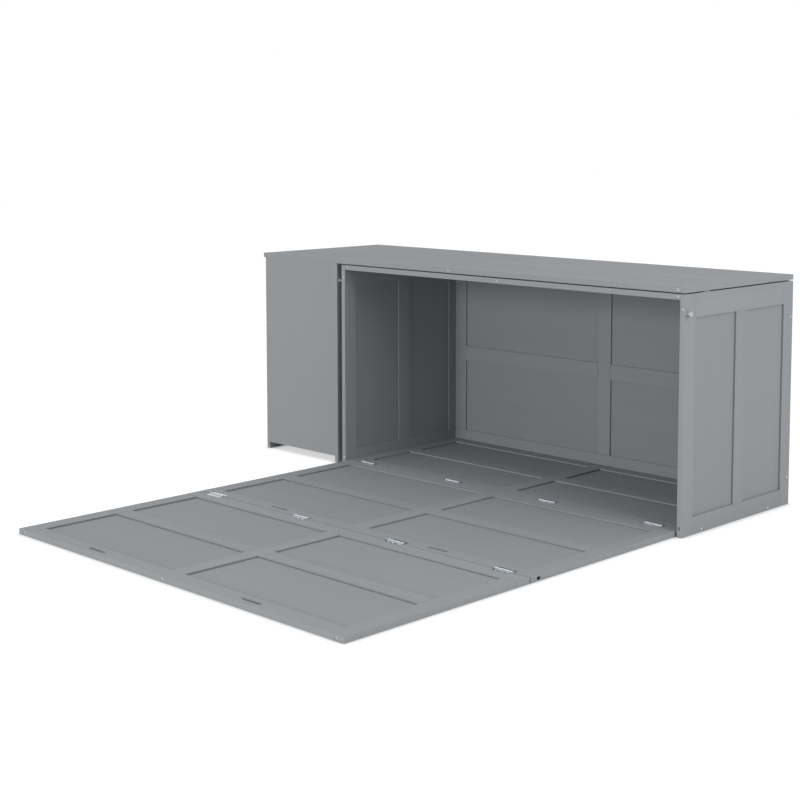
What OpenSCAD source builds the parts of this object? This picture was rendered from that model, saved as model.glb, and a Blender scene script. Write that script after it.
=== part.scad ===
// Cabinet bed: a three-part folding platform that stows in a low cabinet under a swivelling desk top.
// Origin: centre of the cabinet's footprint, on the floor. X runs along the front, Y to the back, Z up.

/* [Cabinet] */
// Outer width of the bed cabinet
cab_w = 1570; // [1450:1:1700]
// Outer depth of the bed cabinet
cab_d = 640; // [600:1:720]
// Height of the desk surface above the floor
cab_h = 795; // [760:1:860]
// Thickness of the framed boards
board = 18; // [16:0.5:20]
// Thickness of the desk top
desk_t = 18; // [16:0.5:24]
// Open gap between the lower top and the desk top
swivel_gap = 4; // [3:0.1:6]

/* [Frame and panel] */
// Width of every rail and stile
frame_w = 58; // [50:1:70]
// Thickness of the panels held in the frames
panel_t = 6; // [4:0.5:9]
// Depth of the groove that holds a panel's edge
groove = 8; // [5:0.5:12]
// Play of a panel in its groove
panel_play = 0.2; // [0.1:0.05:0.4]

/* [Folding platform] */
// Free space between a bed board and a side wall
side_gap = 7; // [5:0.5:10]
// Gap between two bed boards at their seam
seam_gap = 3.5; // [1:0.1:4]
// Free height between the foot hinges' barrels and the lower top when the bed is closed
closing_gap = 3; // [2:0.5:8]
// How much shorter the foot board is, so that it clears the barrels when it is folded
foot_relief = 6; // [5:0.5:15]
// Length of a hand slot
slot_len = 84; // [60:1:100]
// Width of a hand slot
slot_w = 15; // [12:0.5:18]
// Distance of the hand slots from the centre line
slot_x = 365; // [330:1:440]
// Distance of the middle board's slots from the middle of their rail, away from the hinges
slot_shift = 3; // [0:0.5:5]

/* [Hinges] */
// Length of one hinge
hinge_len = 70; // [50:1:90]
// Width of one hinge leaf from the axis
leaf_w = 19; // [16:0.5:22]
// Thickness of a hinge leaf
leaf_t = 1.5; // [1:0.1:1.6]
// Radius of a hinge barrel
knuckle_r = 3; // [2.8:0.1:4]
// Knuckles along one hinge
knuckles = 5; // [3:2:7]
// End play of one knuckle
knuckle_play = 0.3; // [0.2:0.05:0.6]
// Radius of a hinge pin
hinge_pin_r = 1.5; // [1.2:0.1:2]
// Running play of a pin in its barrel or bush
running_play = 0.06; // [0.03:0.01:0.1]
// Distance of the outer hinges from the ends of a bed board
hinge_inset = 97; // [70:1:130]
// Distance of a leaf's outer screws from its middle one
leaf_screw_x = 23.8; // [12:0.1:24]

/* [Locks] */
// Radius of a lock pin
lock_pin_r = 4; // [3:0.5:5]
// Outer radius of the bush that guides a lock pin
lock_bush_r = 5.5; // [5.5:0.25:6]
// Travel of a lock pin
lock_travel = 13; // [10:0.5:14]
// Free space round a lock pin in the middle board
lock_play = 0.5; // [0.3:0.1:1]
// How much longer than wide the lock holes are, along the middle board
lock_slot = 7; // [2:0.5:10]
// Free space past the tip of a lock pin in the middle board
lock_tip_play = 3; // [1:0.5:5]
// Distance of a lock pin below the side wall's upper bolt
lock_drop = 14; // [13:0.5:20]
// Radius of a lock knob
knob_r = 9; // [7:0.5:11]
// Height of a lock knob
knob_h = 5; // [4.5:0.5:6]
// Depth of a lock pin's seat in its knob
knob_seat = 3; // [2:0.5:4]
// Bevel round a lock knob's edges
knob_bevel = 1; // [0.5:0.1:2]

/* [Desk and shelf unit] */
// Length of the desk top past the cabinet's left side
desk_over = 460; // [450:1:560]
// Width of the shelf unit
shelf_w = 422; // [350:1:424]
// Free space between the shelf unit and the cabinet
shelf_gap = 26; // [24:0.5:28]
// Thickness of the shelf unit's boards
shelf_t = 16; // [14:0.5:18]
// Distance of the shelf unit's rear edges from the desk top's
shelf_back_inset = 12; // [5:1:30]
// Height of the plain panel's lower edge above the floor
kick_h = 26; // [15:1:60]
// Number of shelves above the bottom board
shelf_count = 2; // [1:1:3]
// Height of the glides under the shelf unit
glide_h = 3; // [2:0.5:8]
// Radius of a glide
glide_r = 7; // [5:0.5:7]
// Distance of a glide from the end of its side board
glide_inset = 30; // [15:1:60]
// Length of an angle bracket's leg
bracket_leg = 30; // [25:1:40]
// Width of an angle bracket
bracket_w = 20; // [15:1:24]
// Thickness of an angle bracket
bracket_t = 2; // [1.5:0.1:3]
// Free space between the plain panel and the front brackets
bracket_gap = 8; // [2:0.5:12]

/* [Swivel] */
// Distance of the swivel pin from the front edge
pivot_inset = 140; // [135:1:150]
// Radius of the swivel pin
pivot_r = 6; // [5:0.5:8]
// Wall of the swivel bush
pivot_bush_t = 3; // [2:0.5:4]
// Depth of the swivel bush in the desk top
pivot_depth = 12; // [8:0.5:14]
// Free space above the swivel pin
pivot_tip_play = 1; // [0.5:0.5:3]
// Radius of the swivel pin's plate
pivot_plate_r = 25; // [22:0.5:27]
// Thickness of the swivel pin's plate
pivot_plate_t = 1.8; // [1.5:0.1:1.9]
// Screws of the swivel pin's plate
swivel_screws = 4; // [3:1:6]
// Radius of a slide pad
pad_r = 14; // [8:0.5:20]
// Free space above a slide pad
pad_play = 0.3; // [0.2:0.1:0.6]
// Distance of the left slide pads from the centre line
pad_left_x = 706; // [600:1:708]
// Distance of the right slide pads from the centre line
pad_right_x = 471; // [400:1:600]

/* [Fasteners] */
// Radius of a bolt's head
bolt_head_r = 5.5; // [4:0.25:6]
// Height of a bolt's head
bolt_head_h = 3; // [2:0.5:4]
// Depth of a bolt's head below the surface
bolt_sink = 0.5; // [0.5:0.5:4]
// Free ring round a bolt's head
bolt_ring = 0.5; // [0.1:0.1:0.6]
// Radius of the socket in a bolt's head, across its corners
bolt_socket_r = 2; // [1.5:0.25:3.5]
// Depth of the socket in a bolt's head
bolt_socket_h = 2; // [1:0.5:2]
// Radius of a bolt's shank
bolt_r = 3; // [2:0.25:3.5]
// Length of a frame bolt in the member behind the outer one
bolt_bite = 30; // [20:1:34]
// Length of the bolts through the side walls
wall_bolt_len = 40; // [32:1:42]
// Radius of a wood screw's shank
screw_r = 2; // [1.5:0.25:2.5]
// Radius of a wood screw's head
screw_head_r = 3.6; // [3:0.1:4.5]
// Height of a wood screw's head
screw_head_h = 1; // [0.5:0.1:1.2]
// Length of the screws that hold the lower top
top_screw_len = 40; // [32:1:42]
// Length of the shelf unit's long screws
panel_screw_len = 40; // [30:1:45]
// Length of the hinge, plate and bracket screws
leaf_screw_len = 12; // [8:0.5:13]
// Play round a fastener in its hole
hole_play = 0.05; // [0.02:0.01:0.2]
// Distance of the floor's front bolts from the front plane
floor_bolt_front = 116; // [113:1:125]
// Distance of the floor's rear bolts from the back plane
floor_bolt_back = 128; // [112:1:180]
// Height of the back wall's lower bolts
back_bolt_low = 95; // [92:1:150]
// Distance of the back wall's upper bolts below its top
back_bolt_high = 104; // [92:1:150]
// Distance of the lower top's outer side screws from the middle ones
top_screw_y = 150; // [120:1:155]
// Distance of the lower top's rear screws from the centre line
top_screw_x = 383; // [300:1:500]
// Rows of screws along each side of the plain panel
panel_screw_rows = 4; // [3:1:6]
// Distance of the plain panel's lowest screws from its lower edge
panel_screw_low = 22; // [12:1:30]
// Distance of the plain panel's highest screws from its upper edge
panel_screw_high = 30; // [26:1:40]
// Distance of the shelf boards' front screws from the front plane
shelf_screw_front = 160; // [80:1:200]
// Distance of the shelf boards' rear screws from the back plane
shelf_screw_back = 128; // [80:1:200]

/* [Hidden] */
$fn = 48;

paint = [0.575, 0.59, 0.605];
paint_dark = [0.53, 0.545, 0.56];
zinc = [0.8, 0.81, 0.82];
brass = [0.78, 0.66, 0.4];
nylon = [0.9, 0.9, 0.88];

// How far a cut runs past the face that it opens
over = 1;

front_y = -cab_d / 2;
back_y = cab_d / 2;
side_x = cab_w / 2;
bay_w = cab_w - 2 * board;
wall_h = cab_h - desk_t - swivel_gap - board;
top_z = wall_h + board;
desk_z = cab_h - desk_t;
desk_w = cab_w + desk_over;
desk_x = -side_x - desk_over;
bed_w = bay_w - 2 * side_gap;

// The hinge axes lie one barrel radius above the boards, so that the middle board closes flush in front.
axis_z = board + knuckle_r;
floor_axis_y = front_y + board + knuckle_r;
seam_pitch = wall_h - axis_z - knuckle_r - closing_gap;
foot_axis_y = floor_axis_y - seam_pitch;
floor_y = floor_axis_y + seam_gap / 2;
floor_len = back_y - board - floor_y;
middle_y = foot_axis_y + seam_gap / 2;
middle_len = seam_pitch - seam_gap;
foot_len = middle_len - foot_relief;
foot_y = foot_axis_y - seam_gap / 2 - foot_len;

hinge_pitch = (bed_w - 2 * hinge_inset) / 3;
hinge_xs = [for (i = [-1.5 : 1 : 1.5]) i * hinge_pitch];
knuckle_len = hinge_len / knuckles;
leaf_inner = knuckle_r + knuckle_play;
leaf_screw_y = (leaf_inner + leaf_w) / 2;

// The lock pins stand in the plane of the closed middle board.
lock_y = front_y + board / 2;
lock_z = wall_h - frame_w / 2 - lock_drop;
lock_inset = axis_z + middle_len + seam_gap / 2 - lock_z;
lock_hole_depth = lock_travel - side_gap + lock_tip_play;
lock_hole_w = 2 * (lock_pin_r + lock_play);

shelf_x = -side_x - shelf_gap - shelf_w;
shelf_mid_x = shelf_x + shelf_w / 2;
shelf_side_xs = [shelf_x + shelf_t / 2, shelf_x + shelf_w - shelf_t / 2];
shelf_inner_w = shelf_w - 2 * shelf_t;
shelf_y = front_y + shelf_t;
shelf_d = cab_d - shelf_t - shelf_back_inset;
shelf_clear_h = (desk_z - kick_h - shelf_t * (shelf_count + 1)) / (shelf_count + 1);

pivot_x = side_x - frame_w / 2;
pivot_y = front_y + pivot_inset;
pivot_screw_r = (pivot_r + pivot_plate_r) / 2;

// A framed board is [length, width, panels along it, panels across it, thickness].
floor_frame = [bay_w, floor_len, 2, 2, board];
wall_frame = [wall_h, cab_d, 1, 2, board];
back_frame = [bay_w, wall_h, 2, 2, board];
top_frame = [cab_w, cab_d, 2, 2, board];
middle_frame = [bed_w, middle_len, 2, 2, board];
foot_frame = [bed_w, foot_len, 2, 2, board];
desk_frame = [desk_w, cab_d, 2, 2, desk_t];

function cell(len, n) = (len - (n + 1) * frame_w) / n;
function pitch(len, n) = cell(len, n) + frame_w;
function shelf_z(i) = kick_h + i * (shelf_clear_h + shelf_t);

// Turns a piece that faces one way to face the other
module facing(axis, side) mirror(side < 0 ? axis : [0, 0, 0]) children();

// A framed board lies flat, with its rails along its whole length and its stiles across between them.
module at_cells(f)
    for (i = [0 : f[2] - 1], j = [0 : f[3] - 1])
        translate([frame_w + i * pitch(f[0], f[2]), frame_w + j * pitch(f[1], f[3]), 0]) children();

module rail_boxes(f) {
    for (y = [0, f[1] - frame_w]) translate([0, y, 0]) cube([f[0], frame_w, f[4]]);
    for (i = [0 : f[2] - 1], j = [1 : f[3] - 1])
        translate([frame_w + i * pitch(f[0], f[2]), j * pitch(f[1], f[3]), 0])
            cube([cell(f[0], f[2]), frame_w, f[4]]);
}

module stile_boxes(f)
    for (i = [0 : f[2]])
        translate([i * pitch(f[0], f[2]), frame_w, 0]) cube([frame_w, f[1] - 2 * frame_w, f[4]]);

module grooves(f)
    at_cells(f) translate([-groove, -groove, (f[4] - panel_t) / 2])
        cube([cell(f[0], f[2]) + 2 * groove, cell(f[1], f[3]) + 2 * groove, panel_t]);

// Panels stand back from both faces, or with flush their upper face is level with the frame's.
module framed_panels(f, flush = false) {
    reach = groove - 2 * panel_play;
    at_cells(f) {
        translate([-reach, -reach, (f[4] - panel_t) / 2 + panel_play / 2])
            cube([cell(f[0], f[2]) + 2 * reach, cell(f[1], f[3]) + 2 * reach, panel_t - panel_play]);
        if (flush)
            translate([panel_play, panel_play, f[4] / 2])
                cube([cell(f[0], f[2]) - 2 * panel_play, cell(f[1], f[3]) - 2 * panel_play, f[4] / 2]);
    }
}

module framed_rails(f) difference() {
    rail_boxes(f);
    grooves(f);
    frame_bolts(f, hole_play);
}

module framed_stiles(f) difference() {
    stile_boxes(f);
    grooves(f);
    frame_bolts(f, hole_play);
}

// Each fastener points along -Z from the surface at the origin; with play it is the hole for itself.
module bolt(len, play = 0) {
    seat = bolt_sink + bolt_head_h;
    translate([0, 0, -len]) cylinder(r = bolt_r + play, h = len - seat + (play > 0 ? over : 0));
    if (play > 0)
        translate([0, 0, -seat]) cylinder(r = bolt_head_r + bolt_ring, h = seat + over);
    else
        translate([0, 0, -seat]) difference() {
            cylinder(r = bolt_head_r, h = bolt_head_h);
            translate([0, 0, bolt_head_h - bolt_socket_h])
                cylinder(r = bolt_socket_r, h = bolt_socket_h + over, $fn = 6);
        }
}

module pan_screw(len, play = 0) {
    translate([0, 0, -len]) cylinder(r = screw_r + play, h = len + (play > 0 ? over : screw_head_h / 2));
    if (play == 0) cylinder(r = screw_head_r, h = screw_head_h);
}

module flush_screw(len, play = 0) {
    head = 2 * screw_head_h;
    translate([0, 0, -len]) cylinder(r = screw_r + play, h = len - screw_head_h);
    translate([0, 0, -head]) cylinder(r = screw_head_r + play, h = head + (play > 0 ? over : 0));
}

// Bolts through both rails into the ends of each stile
module frame_bolts(f, play = 0)
    for (i = [0 : f[2]], end = [0, 1])
        translate([i * pitch(f[0], f[2]) + frame_w / 2, end * f[1], f[4] / 2])
            rotate([end > 0 ? -90 : 90, 0, 0]) bolt(frame_w + bolt_bite, play);

// Places of the framed boards
module at_floor() translate([-bay_w / 2, floor_y, 0]) children();
module at_middle() translate([-bed_w / 2, middle_y, 0]) children();
module at_foot() translate([-bed_w / 2, foot_y, 0]) children();
module at_left_wall() translate([board - side_x, front_y, 0]) rotate([0, -90, 0]) children();
module at_right_wall() translate([side_x, front_y, 0]) rotate([0, -90, 0]) children();
module at_back() translate([-bay_w / 2, back_y, 0]) rotate([90, 0, 0]) children();
module at_lower_top() translate([-side_x, front_y, wall_h]) children();
module at_desk() translate([desk_x, front_y, desk_z]) children();

// Places of the hinges, whose axes run along X
module at_floor_hinges() for (x = hinge_xs) translate([x, floor_axis_y, axis_z]) children();
module at_foot_hinges() for (x = hinge_xs) translate([x, foot_axis_y, axis_z]) children();

// One leaf behind its axis, with every second knuckle from the first
module leaf(first) difference() {
    union() {
        translate([-hinge_len / 2, leaf_inner, -knuckle_r]) cube([hinge_len, leaf_w - leaf_inner, leaf_t]);
        for (i = [first : 2 : knuckles - 1])
            translate([(knuckle_play - hinge_len) / 2 + i * knuckle_len, 0, 0]) {
                translate([0, 0, -knuckle_r])
                    cube([knuckle_len - knuckle_play, leaf_inner + knuckle_play, leaf_t]);
                rotate([0, 90, 0]) cylinder(r = knuckle_r, h = knuckle_len - knuckle_play);
            }
    }
    rotate([0, 90, 0]) cylinder(r = hinge_pin_r + running_play, h = hinge_len + 2 * over, center = true);
    leaf_screws(hole_play);
}

module leaf_screws(play = 0)
    for (i = [-1 : 1])
        translate([i * leaf_screw_x, leaf_screw_y, leaf_t - knuckle_r]) pan_screw(leaf_screw_len, play);

module hinge_pin() rotate([0, 90, 0]) cylinder(r = hinge_pin_r, h = hinge_len, center = true);

module hinge_screw_holes()
    for (side = [-1, 1]) {
        at_floor_hinges() facing([0, 1, 0], side) leaf_screws(hole_play);
        at_foot_hinges() facing([0, 1, 0], side) leaf_screws(hole_play);
    }

// A slot along X with round ends
module round_slot(len, w, h) {
    for (s = [-1, 1]) translate([s * (len - w) / 2, 0, 0]) cylinder(r = w / 2, h = h);
    translate([(w - len) / 2, -w / 2, 0]) cube([len - w, w, h]);
}
module hand_slots()
    for (x = [-slot_x, slot_x]) translate([x, 0, -over]) round_slot(slot_len, slot_w, board + 2 * over);

// Cabinet floor
module floor_rails() color(paint) difference() {
    at_floor() framed_rails(floor_frame);
    hinge_screw_holes();
}
module floor_stiles() color(paint) difference() {
    at_floor() framed_stiles(floor_frame);
    wall_bolt_set(hole_play);
}
module floor_panels() color(paint_dark) at_floor() framed_panels(floor_frame);

// Side walls, whose stiles stand the whole height with one more in the middle
module wall_holes() {
    wall_bolt_set(hole_play);
    lower_top_screw_set(hole_play);
    for (s = [-1, 1]) translate([s * (side_x - board / 2), lock_y, lock_z])
        rotate([0, 90, 0]) cylinder(r = lock_bush_r, h = board + 2 * over, center = true);
}
module left_wall_stiles() color(paint) difference() {
    at_left_wall() framed_rails(wall_frame);
    wall_holes();
}
module left_wall_rails() color(paint) difference() {
    at_left_wall() framed_stiles(wall_frame);
    wall_holes();
}
module left_wall_panels() color(paint_dark) at_left_wall() framed_panels(wall_frame);
module right_wall_stiles() color(paint) difference() {
    at_right_wall() framed_rails(wall_frame);
    wall_holes();
}
module right_wall_rails() color(paint) difference() {
    at_right_wall() framed_stiles(wall_frame);
    wall_holes();
}
module right_wall_panels() color(paint_dark) at_right_wall() framed_panels(wall_frame);

// Back wall
module back_wall_rails() color(paint) difference() {
    at_back() framed_rails(back_frame);
    lower_top_screw_set(hole_play);
}
module back_wall_stiles() color(paint) difference() {
    at_back() framed_stiles(back_frame);
    wall_bolt_set(hole_play);
}
module back_wall_panels() color(paint_dark) at_back() framed_panels(back_frame);

// Lower top, fixed on the walls
module lower_top_rails() color(paint) difference() {
    at_lower_top() framed_rails(top_frame);
    lower_top_screw_set(hole_play);
}
module lower_top_stiles() color(paint) difference() {
    at_lower_top() framed_stiles(top_frame);
    lower_top_screw_set(hole_play);
    swivel_screw_set(hole_play);
}
module lower_top_panels() color(paint_dark) at_lower_top() framed_panels(top_frame);

// Fasteners of the cabinet
module cabinet_frame_bolts() color(zinc) {
    at_floor() frame_bolts(floor_frame);
    at_left_wall() frame_bolts(wall_frame);
    at_right_wall() frame_bolts(wall_frame);
    at_back() frame_bolts(back_frame);
    at_lower_top() frame_bolts(top_frame);
}

module wall_bolt_set(play = 0)
    for (s = [-1, 1]) {
        for (y = [front_y + floor_bolt_front, back_y - floor_bolt_back])
            translate([s * side_x, y, board / 2]) rotate([0, s * 90, 0]) bolt(wall_bolt_len, play);
        for (z = [back_bolt_low, wall_h - back_bolt_high])
            translate([s * side_x, back_y - board / 2, z]) rotate([0, s * 90, 0]) bolt(wall_bolt_len, play);
    }
module wall_bolts() color(zinc) wall_bolt_set();

module lower_top_screw_set(play = 0)
    for (s = [-1, 1]) {
        for (i = [-1 : 1])
            translate([s * (side_x - board / 2), i * top_screw_y, top_z]) flush_screw(top_screw_len, play);
        translate([s * top_screw_x, back_y - board / 2, top_z]) flush_screw(top_screw_len, play);
    }
module lower_top_screws() color(zinc) lower_top_screw_set();

// Lock pins, each in a bush through the side wall with a knob outside
module lock_bushes() color(brass)
    for (s = [-1, 1]) translate([s * (side_x - board / 2), lock_y, lock_z]) rotate([0, 90, 0]) difference() {
        cylinder(r = lock_bush_r, h = board, center = true);
        cylinder(r = lock_pin_r + running_play, h = board + 2 * over, center = true);
    }

module lock_pin(s) color(zinc)
    translate([s * (side_x - board), lock_y, lock_z]) rotate([0, s * 90, 0])
        cylinder(r = lock_pin_r, h = board + lock_travel + knob_seat);

module lock_knob(s) color(zinc)
    translate([s * (side_x + lock_travel), lock_y, lock_z]) rotate([0, s * 90, 0]) difference() {
        rotate_extrude() polygon([
            [0, 0], [knob_r - knob_bevel, 0], [knob_r, knob_bevel],
            [knob_r, knob_h - knob_bevel], [knob_r - knob_bevel, knob_h], [0, knob_h]
        ]);
        translate([0, 0, -over]) cylinder(r = lock_pin_r, h = knob_seat + over);
    }
module left_lock_pin() lock_pin(-1);
module right_lock_pin() lock_pin(1);
module left_lock_knob() lock_knob(-1);
module right_lock_knob() lock_knob(1);

// Hinges of the floor seam and of the foot seam
module floor_hinge_leaves() color(zinc) at_floor_hinges() leaf(0);
module floor_hinge_pins() color(zinc) at_floor_hinges() hinge_pin();
module floor_hinge_screws() color(zinc) at_floor_hinges() leaf_screws();
module middle_rear_leaves() color(zinc) at_floor_hinges() facing([0, 1, 0], -1) leaf(1);
module middle_front_leaves() color(zinc) at_foot_hinges() leaf(0);
module foot_hinge_pins() color(zinc) at_foot_hinges() hinge_pin();
module foot_hinge_leaves() color(zinc) at_foot_hinges() facing([0, 1, 0], -1) leaf(1);
module foot_hinge_screws() color(zinc) at_foot_hinges() facing([0, 1, 0], -1) leaf_screws();
module middle_hinge_screws() color(zinc) {
    at_floor_hinges() facing([0, 1, 0], -1) leaf_screws();
    at_foot_hinges() leaf_screws();
}

// Middle board
module middle_rails() color(paint) difference() {
    at_middle() framed_rails(middle_frame);
    hinge_screw_holes();
    translate([0, middle_y + frame_w / 2 + slot_shift, 0]) hand_slots();
    for (s = [-1, 1])
        translate([s * (bed_w / 2 + over), middle_y + lock_inset, board / 2]) rotate([0, -s * 90, 0])
            rotate([0, 0, 90]) round_slot(lock_hole_w + lock_slot, lock_hole_w, lock_hole_depth + over);
}
module middle_stiles() color(paint) at_middle() framed_stiles(middle_frame);
module middle_panels() color(paint_dark) at_middle() framed_panels(middle_frame);
module middle_frame_bolts() color(zinc) at_middle() frame_bolts(middle_frame);

// Foot board
module foot_rails() color(paint) difference() {
    at_foot() framed_rails(foot_frame);
    hinge_screw_holes();
    translate([0, foot_y + frame_w / 2, 0]) hand_slots();
}
module foot_stiles() color(paint) at_foot() framed_stiles(foot_frame);
module foot_panels() color(paint_dark) at_foot() framed_panels(foot_frame);
module foot_frame_bolts() color(zinc) at_foot() frame_bolts(foot_frame);

// Swivel: a pin on a plate, fixed to the lower top, turns in a bush in the desk top.
module slide_pads() color(nylon)
    for (x = [-pad_left_x, 0, pad_right_x], s = [-1, 1])
        translate([x, s * (back_y - frame_w / 2), top_z]) cylinder(r = pad_r, h = swivel_gap - pad_play);
module swivel_screw_set(play = 0)
    for (i = [0 : swivel_screws - 1])
        translate([pivot_x, pivot_y, top_z + pivot_plate_t]) rotate([0, 0, (i + 0.5) * 360 / swivel_screws])
            translate([pivot_screw_r, 0, 0]) pan_screw(leaf_screw_len, play);
module swivel_plate() color(zinc) difference() {
    translate([pivot_x, pivot_y, top_z]) {
        cylinder(r = pivot_plate_r, h = pivot_plate_t);
        cylinder(r = pivot_r, h = swivel_gap + pivot_depth - pivot_tip_play);
    }
    swivel_screw_set(hole_play);
}
module swivel_plate_screws() color(zinc) swivel_screw_set();
module swivel_bush() color(brass) translate([pivot_x, pivot_y, desk_z]) difference() {
    cylinder(r = pivot_r + pivot_bush_t, h = pivot_depth);
    translate([0, 0, -over]) cylinder(r = pivot_r + running_play, h = pivot_depth + 2 * over);
}

// Desk top
module desk_rails() color(paint) difference() {
    at_desk() framed_rails(desk_frame);
    bracket_screw_set(hole_play);
}
module desk_stiles() color(paint) difference() {
    at_desk() framed_stiles(desk_frame);
    translate([pivot_x, pivot_y, desk_z - over])
        cylinder(r = pivot_r + pivot_bush_t, h = pivot_depth + over);
}
module desk_panels() color(paint_dark) at_desk() framed_panels(desk_frame, true);
module desk_frame_bolts() color(zinc) at_desk() frame_bolts(desk_frame);

// Shelf unit under the desk top's left end, with a plain panel at the front and open at the back
// Each side board has a toe that comes forward under the plain panel, level with its face.
module shelf_side(x) color(paint) difference() {
    translate([x - shelf_t / 2, 0, glide_h]) {
        translate([0, shelf_y, 0]) cube([shelf_t, shelf_d, desk_z - glide_h]);
        translate([0, front_y, 0]) cube([shelf_t, shelf_t + shelf_d, kick_h - glide_h]);
    }
    panel_screw_set(hole_play);
    shelf_screw_set(hole_play);
    bracket_screw_set(hole_play);
}
module shelf_left_side() shelf_side(shelf_side_xs[0]);
module shelf_right_side() shelf_side(shelf_side_xs[1]);
module shelf_plain_panel() color(paint) difference() {
    translate([shelf_x, front_y, kick_h]) cube([shelf_w, shelf_t, desk_z - kick_h]);
    panel_screw_set(hole_play);
}
module shelf_board_box(i)
    translate([shelf_x + shelf_t, shelf_y, shelf_z(i)]) cube([shelf_inner_w, shelf_d, shelf_t]);
module shelf_bottom() color(paint) difference() {
    shelf_board_box(0);
    panel_screw_set(hole_play);
    shelf_screw_set(hole_play);
}
module shelf_boards() color(paint) difference() {
    for (i = [1 : shelf_count]) shelf_board_box(i);
    shelf_screw_set(hole_play);
}

// Screws of the plain panel along both sides, and one into the bottom board
module panel_screw_set(play = 0) {
    low = kick_h + panel_screw_low;
    step = (desk_z - panel_screw_high - low) / (panel_screw_rows - 1);
    for (x = shelf_side_xs, i = [0 : panel_screw_rows - 1])
        translate([x, front_y, low + i * step]) rotate([90, 0, 0]) flush_screw(panel_screw_len, play);
    translate([shelf_mid_x, front_y, kick_h + shelf_t / 2])
        rotate([90, 0, 0]) flush_screw(panel_screw_len, play);
}
module shelf_panel_screws() color(brass) panel_screw_set();
module shelf_screw_set(play = 0)
    for (i = [0 : shelf_count], y = [front_y + shelf_screw_front, back_y - shelf_screw_back], s = [-1, 1])
        translate([shelf_mid_x + s * shelf_w / 2, y, shelf_z(i) + shelf_t / 2])
            rotate([0, s * 90, 0]) flush_screw(panel_screw_len, play);
module shelf_side_screws() color(zinc) shelf_screw_set();

// Angle brackets that fix the unit's sides under the desk top's rails
module at_brackets()
    for (s = [-1, 1], y = [shelf_y + bracket_gap + bracket_w / 2, back_y - frame_w / 2])
        translate([shelf_mid_x + s * shelf_inner_w / 2, y, desk_z]) facing([1, 0, 0], -s) children();
module bracket_screw_set(play = 0) at_brackets() {
    reach = 2 * bracket_leg / 3;
    translate([reach, 0, -bracket_t]) rotate([180, 0, 0]) pan_screw(leaf_screw_len, play);
    translate([bracket_t, 0, -reach]) rotate([0, 90, 0]) pan_screw(leaf_screw_len, play);
}
module shelf_brackets() color(zinc) difference() {
    at_brackets() translate([0, -bracket_w / 2, 0]) {
        translate([0, 0, -bracket_t]) cube([bracket_leg, bracket_w, bracket_t]);
        translate([0, 0, -bracket_leg]) cube([bracket_t, bracket_w, bracket_leg]);
    }
    bracket_screw_set(hole_play);
}
module shelf_bracket_screws() color(zinc) bracket_screw_set();

module shelf_glides() color(nylon)
    for (x = shelf_side_xs, y = [shelf_y + glide_inset, shelf_y + shelf_d - glide_inset])
        translate([x, y, 0]) cylinder(r = glide_r, h = glide_h);

floor_rails();
floor_stiles();
floor_panels();
left_wall_stiles();
left_wall_rails();
left_wall_panels();
right_wall_stiles();
right_wall_rails();
right_wall_panels();
back_wall_rails();
back_wall_stiles();
back_wall_panels();
lower_top_rails();
lower_top_stiles();
lower_top_panels();
cabinet_frame_bolts();
wall_bolts();
lower_top_screws();
lock_bushes();
floor_hinge_leaves();
floor_hinge_pins();
floor_hinge_screws();
slide_pads();
swivel_plate();
swivel_plate_screws();
middle_rails();
middle_stiles();
middle_panels();
middle_frame_bolts();
middle_rear_leaves();
middle_front_leaves();
middle_hinge_screws();
foot_hinge_pins();
foot_rails();
foot_stiles();
foot_panels();
foot_frame_bolts();
foot_hinge_leaves();
foot_hinge_screws();
left_lock_pin();
left_lock_knob();
right_lock_pin();
right_lock_knob();
desk_rails();
desk_stiles();
desk_panels();
desk_frame_bolts();
swivel_bush();
shelf_plain_panel();
shelf_left_side();
shelf_right_side();
shelf_boards();
shelf_bottom();
shelf_panel_screws();
shelf_side_screws();
shelf_brackets();
shelf_bracket_screws();
shelf_glides();
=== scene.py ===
# Cabinet bed with its platform folded out: finish of every piece, studio floor, light and camera.
# Metres. X runs along the front, Y to the back, Z up; the origin is under the cabinet's middle.
import math

import bmesh
import bpy
from mathutils import Matrix, Vector


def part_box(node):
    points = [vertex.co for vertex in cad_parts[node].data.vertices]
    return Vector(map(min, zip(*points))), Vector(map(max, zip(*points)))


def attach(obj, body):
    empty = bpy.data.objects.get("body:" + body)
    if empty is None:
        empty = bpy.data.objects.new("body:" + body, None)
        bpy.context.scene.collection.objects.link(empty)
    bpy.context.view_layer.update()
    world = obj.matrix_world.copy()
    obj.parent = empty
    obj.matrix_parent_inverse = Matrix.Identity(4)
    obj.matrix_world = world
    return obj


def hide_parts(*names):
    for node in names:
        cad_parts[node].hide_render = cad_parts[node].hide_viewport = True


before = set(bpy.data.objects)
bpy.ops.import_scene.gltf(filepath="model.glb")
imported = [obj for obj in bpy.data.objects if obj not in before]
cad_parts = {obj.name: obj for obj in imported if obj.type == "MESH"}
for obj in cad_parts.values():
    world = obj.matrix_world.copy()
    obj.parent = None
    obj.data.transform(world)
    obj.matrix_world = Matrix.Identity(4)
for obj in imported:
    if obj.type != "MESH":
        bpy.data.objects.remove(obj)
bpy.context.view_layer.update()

scene = bpy.context.scene


# Node tree helpers

class Wire:
    # a value that comes out of a node; sums with it add nodes to its tree
    def __init__(self, tree, socket):
        self.tree, self.socket = tree, socket

    def maths(self, operation, other=0.0):
        return put(self.tree, "ShaderNodeMath", {0: self, 1: other}, operation=operation)

    def __add__(self, other):
        return self.maths("ADD", other)

    def __sub__(self, other):
        return self.maths("SUBTRACT", other)

    def __mul__(self, other):
        return self.maths("MULTIPLY", other)

    def __truediv__(self, other):
        return self.maths("DIVIDE", other)

    def __neg__(self):
        return self * -1.0


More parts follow.
